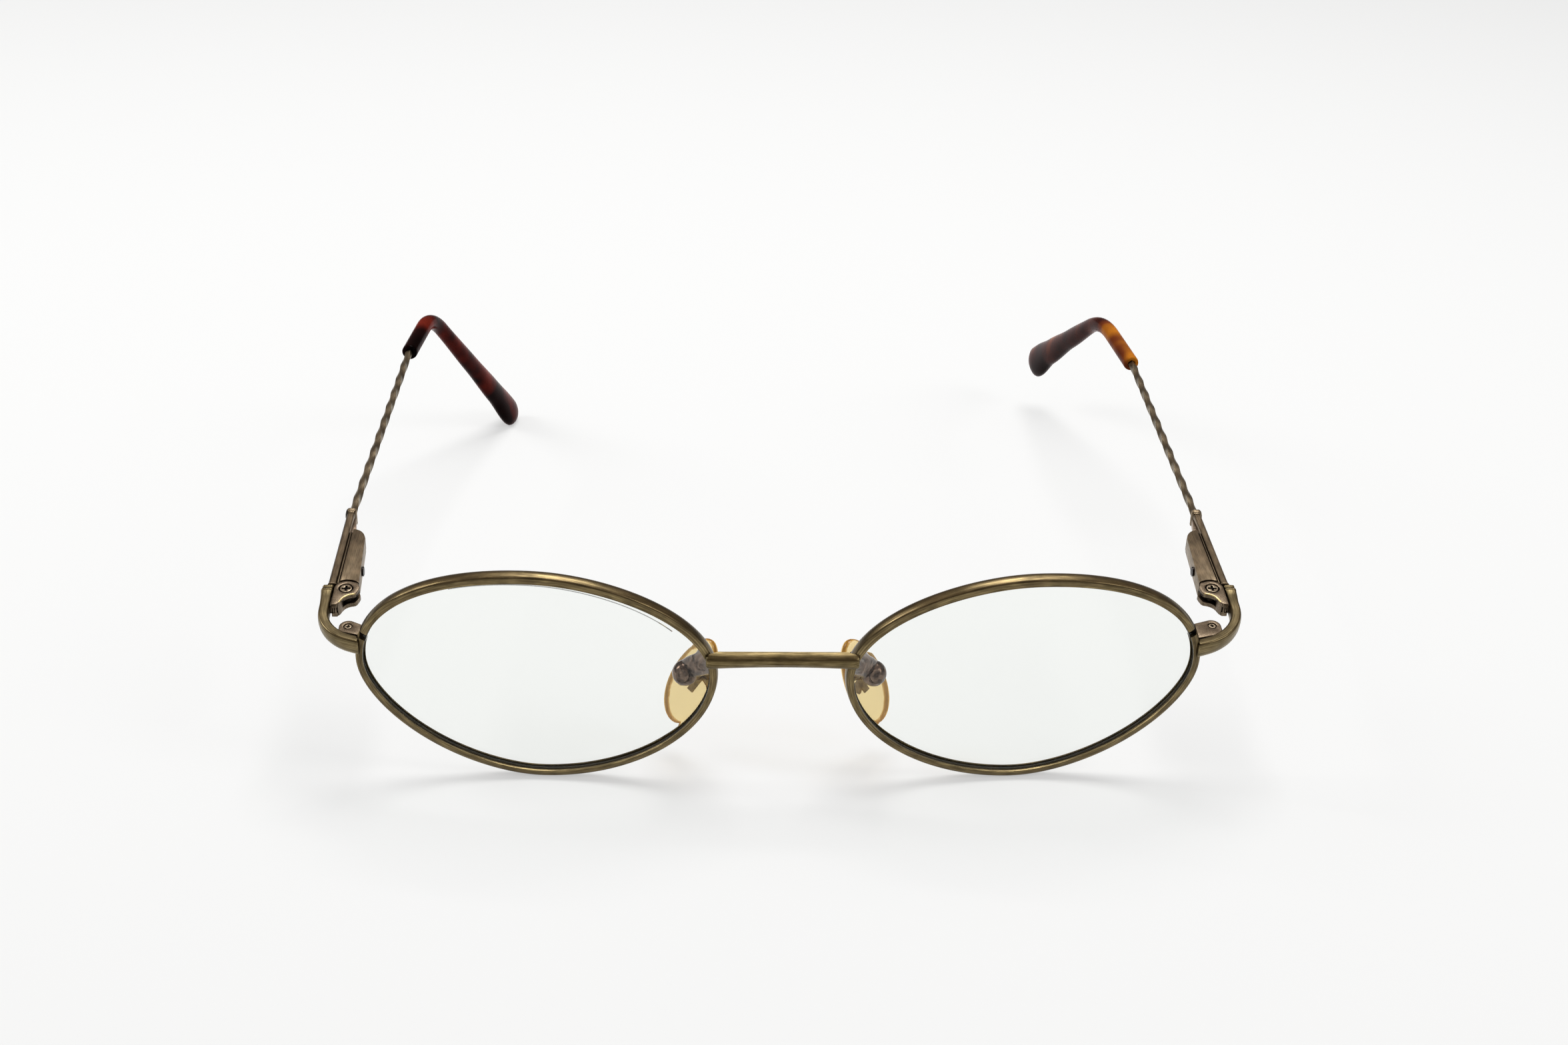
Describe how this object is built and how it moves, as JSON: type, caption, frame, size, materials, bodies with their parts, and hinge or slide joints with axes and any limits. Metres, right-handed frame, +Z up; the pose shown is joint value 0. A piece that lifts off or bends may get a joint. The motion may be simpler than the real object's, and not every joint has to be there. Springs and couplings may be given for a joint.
{
  "type": "eyeglasses",
  "caption": "Oval metal eyeglasses with spring hinges, twisted-wire temples, tortoise ear sleeves and rocking nose pads, standing open.",
  "frame": {"origin": "middle of the footprint, at the table that the frame stands on", "axes": "+Z up; the front faces -Y, leaning 10 degrees with its top forward; the temples run to +Y; left is -X, as seen from the front"},
  "size_m": [0.133, 0.1482, 0.0365],
  "materials": {
    "brass": "antique, brushed lengthwise",
    "dark_brass": "antique, satin",
    "gunmetal": "dark, polished",
    "steel": "satin",
    "demo_lens": "clear, polished",
    "acetate": "polished tortoise",
    "pad": "translucent amber"
  },
  "bodies": {
    "front": {"bridge": "brass", "left_rim": "brass", "right_rim": "brass", "left_lens": "demo_lens", "right_lens": "demo_lens", "left_end_piece": "brass", "right_end_piece": "brass", "left_rim_lock_upper": "dark_brass", "right_rim_lock_upper": "dark_brass", "left_rim_lock_lower": "dark_brass", "right_rim_lock_lower": "dark_brass", "left_rim_screw": "steel", "right_rim_screw": "steel", "left_hinge_fork": "dark_brass", "right_hinge_fork": "dark_brass", "left_hinge_screw": "steel", "right_hinge_screw": "steel", "left_pad_arm": "gunmetal", "right_pad_arm": "gunmetal", "left_pad_pin": "steel", "right_pad_pin": "steel"},
    "left_slider": {"left_spring_slider": "steel"},
    "left_temple": {"left_spring_housing": "brass", "left_temple_bar": "brass", "left_temple_wire": "brass", "left_temple_tip": "acetate", "left_spring_guide": "steel", "left_guide_screw": "gunmetal", "left_spring": "steel"},
    "left_pad": {"left_pad_mount": "gunmetal", "left_nose_pad": "pad"},
    "right_slider": {"right_spring_slider": "steel"},
    "right_temple": {"right_spring_housing": "brass", "right_temple_bar": "brass", "right_temple_wire": "brass", "right_temple_tip": "acetate", "right_spring_guide": "steel", "right_guide_screw": "gunmetal", "right_spring": "steel"},
    "right_pad": {"right_pad_mount": "gunmetal", "right_nose_pad": "pad"}
  },
  "joints": [
    {"name": "left_fold", "type": "hinge", "parent": "front", "child": "left_slider", "pos_m": [-0.06295, -0.05746, 0.02463], "axis": [0, 0.1736, -0.9848], "range_deg": [-3.5, 86]},
    {"name": "left_spring_slide", "type": "slide", "parent": "left_slider", "child": "left_temple", "axis": [0, 0.9977, 0.068], "range_m": [0, 0.0009], "stiffness_N_per_m": 1500, "springref_m": -0.0007, "deforming": ["left_spring"]},
    {"name": "left_pad_rock", "type": "hinge", "parent": "front", "child": "left_pad", "pos_m": [-0.01425, -0.06363, 0.01532], "axis": [0.3746, -0.161, 0.9131], "range_deg": [-8, 8]},
    {"name": "right_fold", "type": "hinge", "parent": "front", "child": "right_slider", "pos_m": [0.06295, -0.05647, 0.02481], "axis": [0, -0.1736, 0.9848], "range_deg": [-3.5, 82]},
    {"name": "right_spring_slide", "type": "slide", "parent": "right_slider", "child": "right_temple", "axis": [0, 0.9976, 0.0698], "range_m": [0, 0.0009], "stiffness_N_per_m": 1500, "springref_m": -0.0007, "deforming": ["right_spring"]},
    {"name": "right_pad_rock", "type": "hinge", "parent": "front", "child": "right_pad", "pos_m": [0.01305, -0.06363, 0.01532], "axis": [-0.3746, -0.161, 0.9131], "range_deg": [-8, 8]}
  ]
}
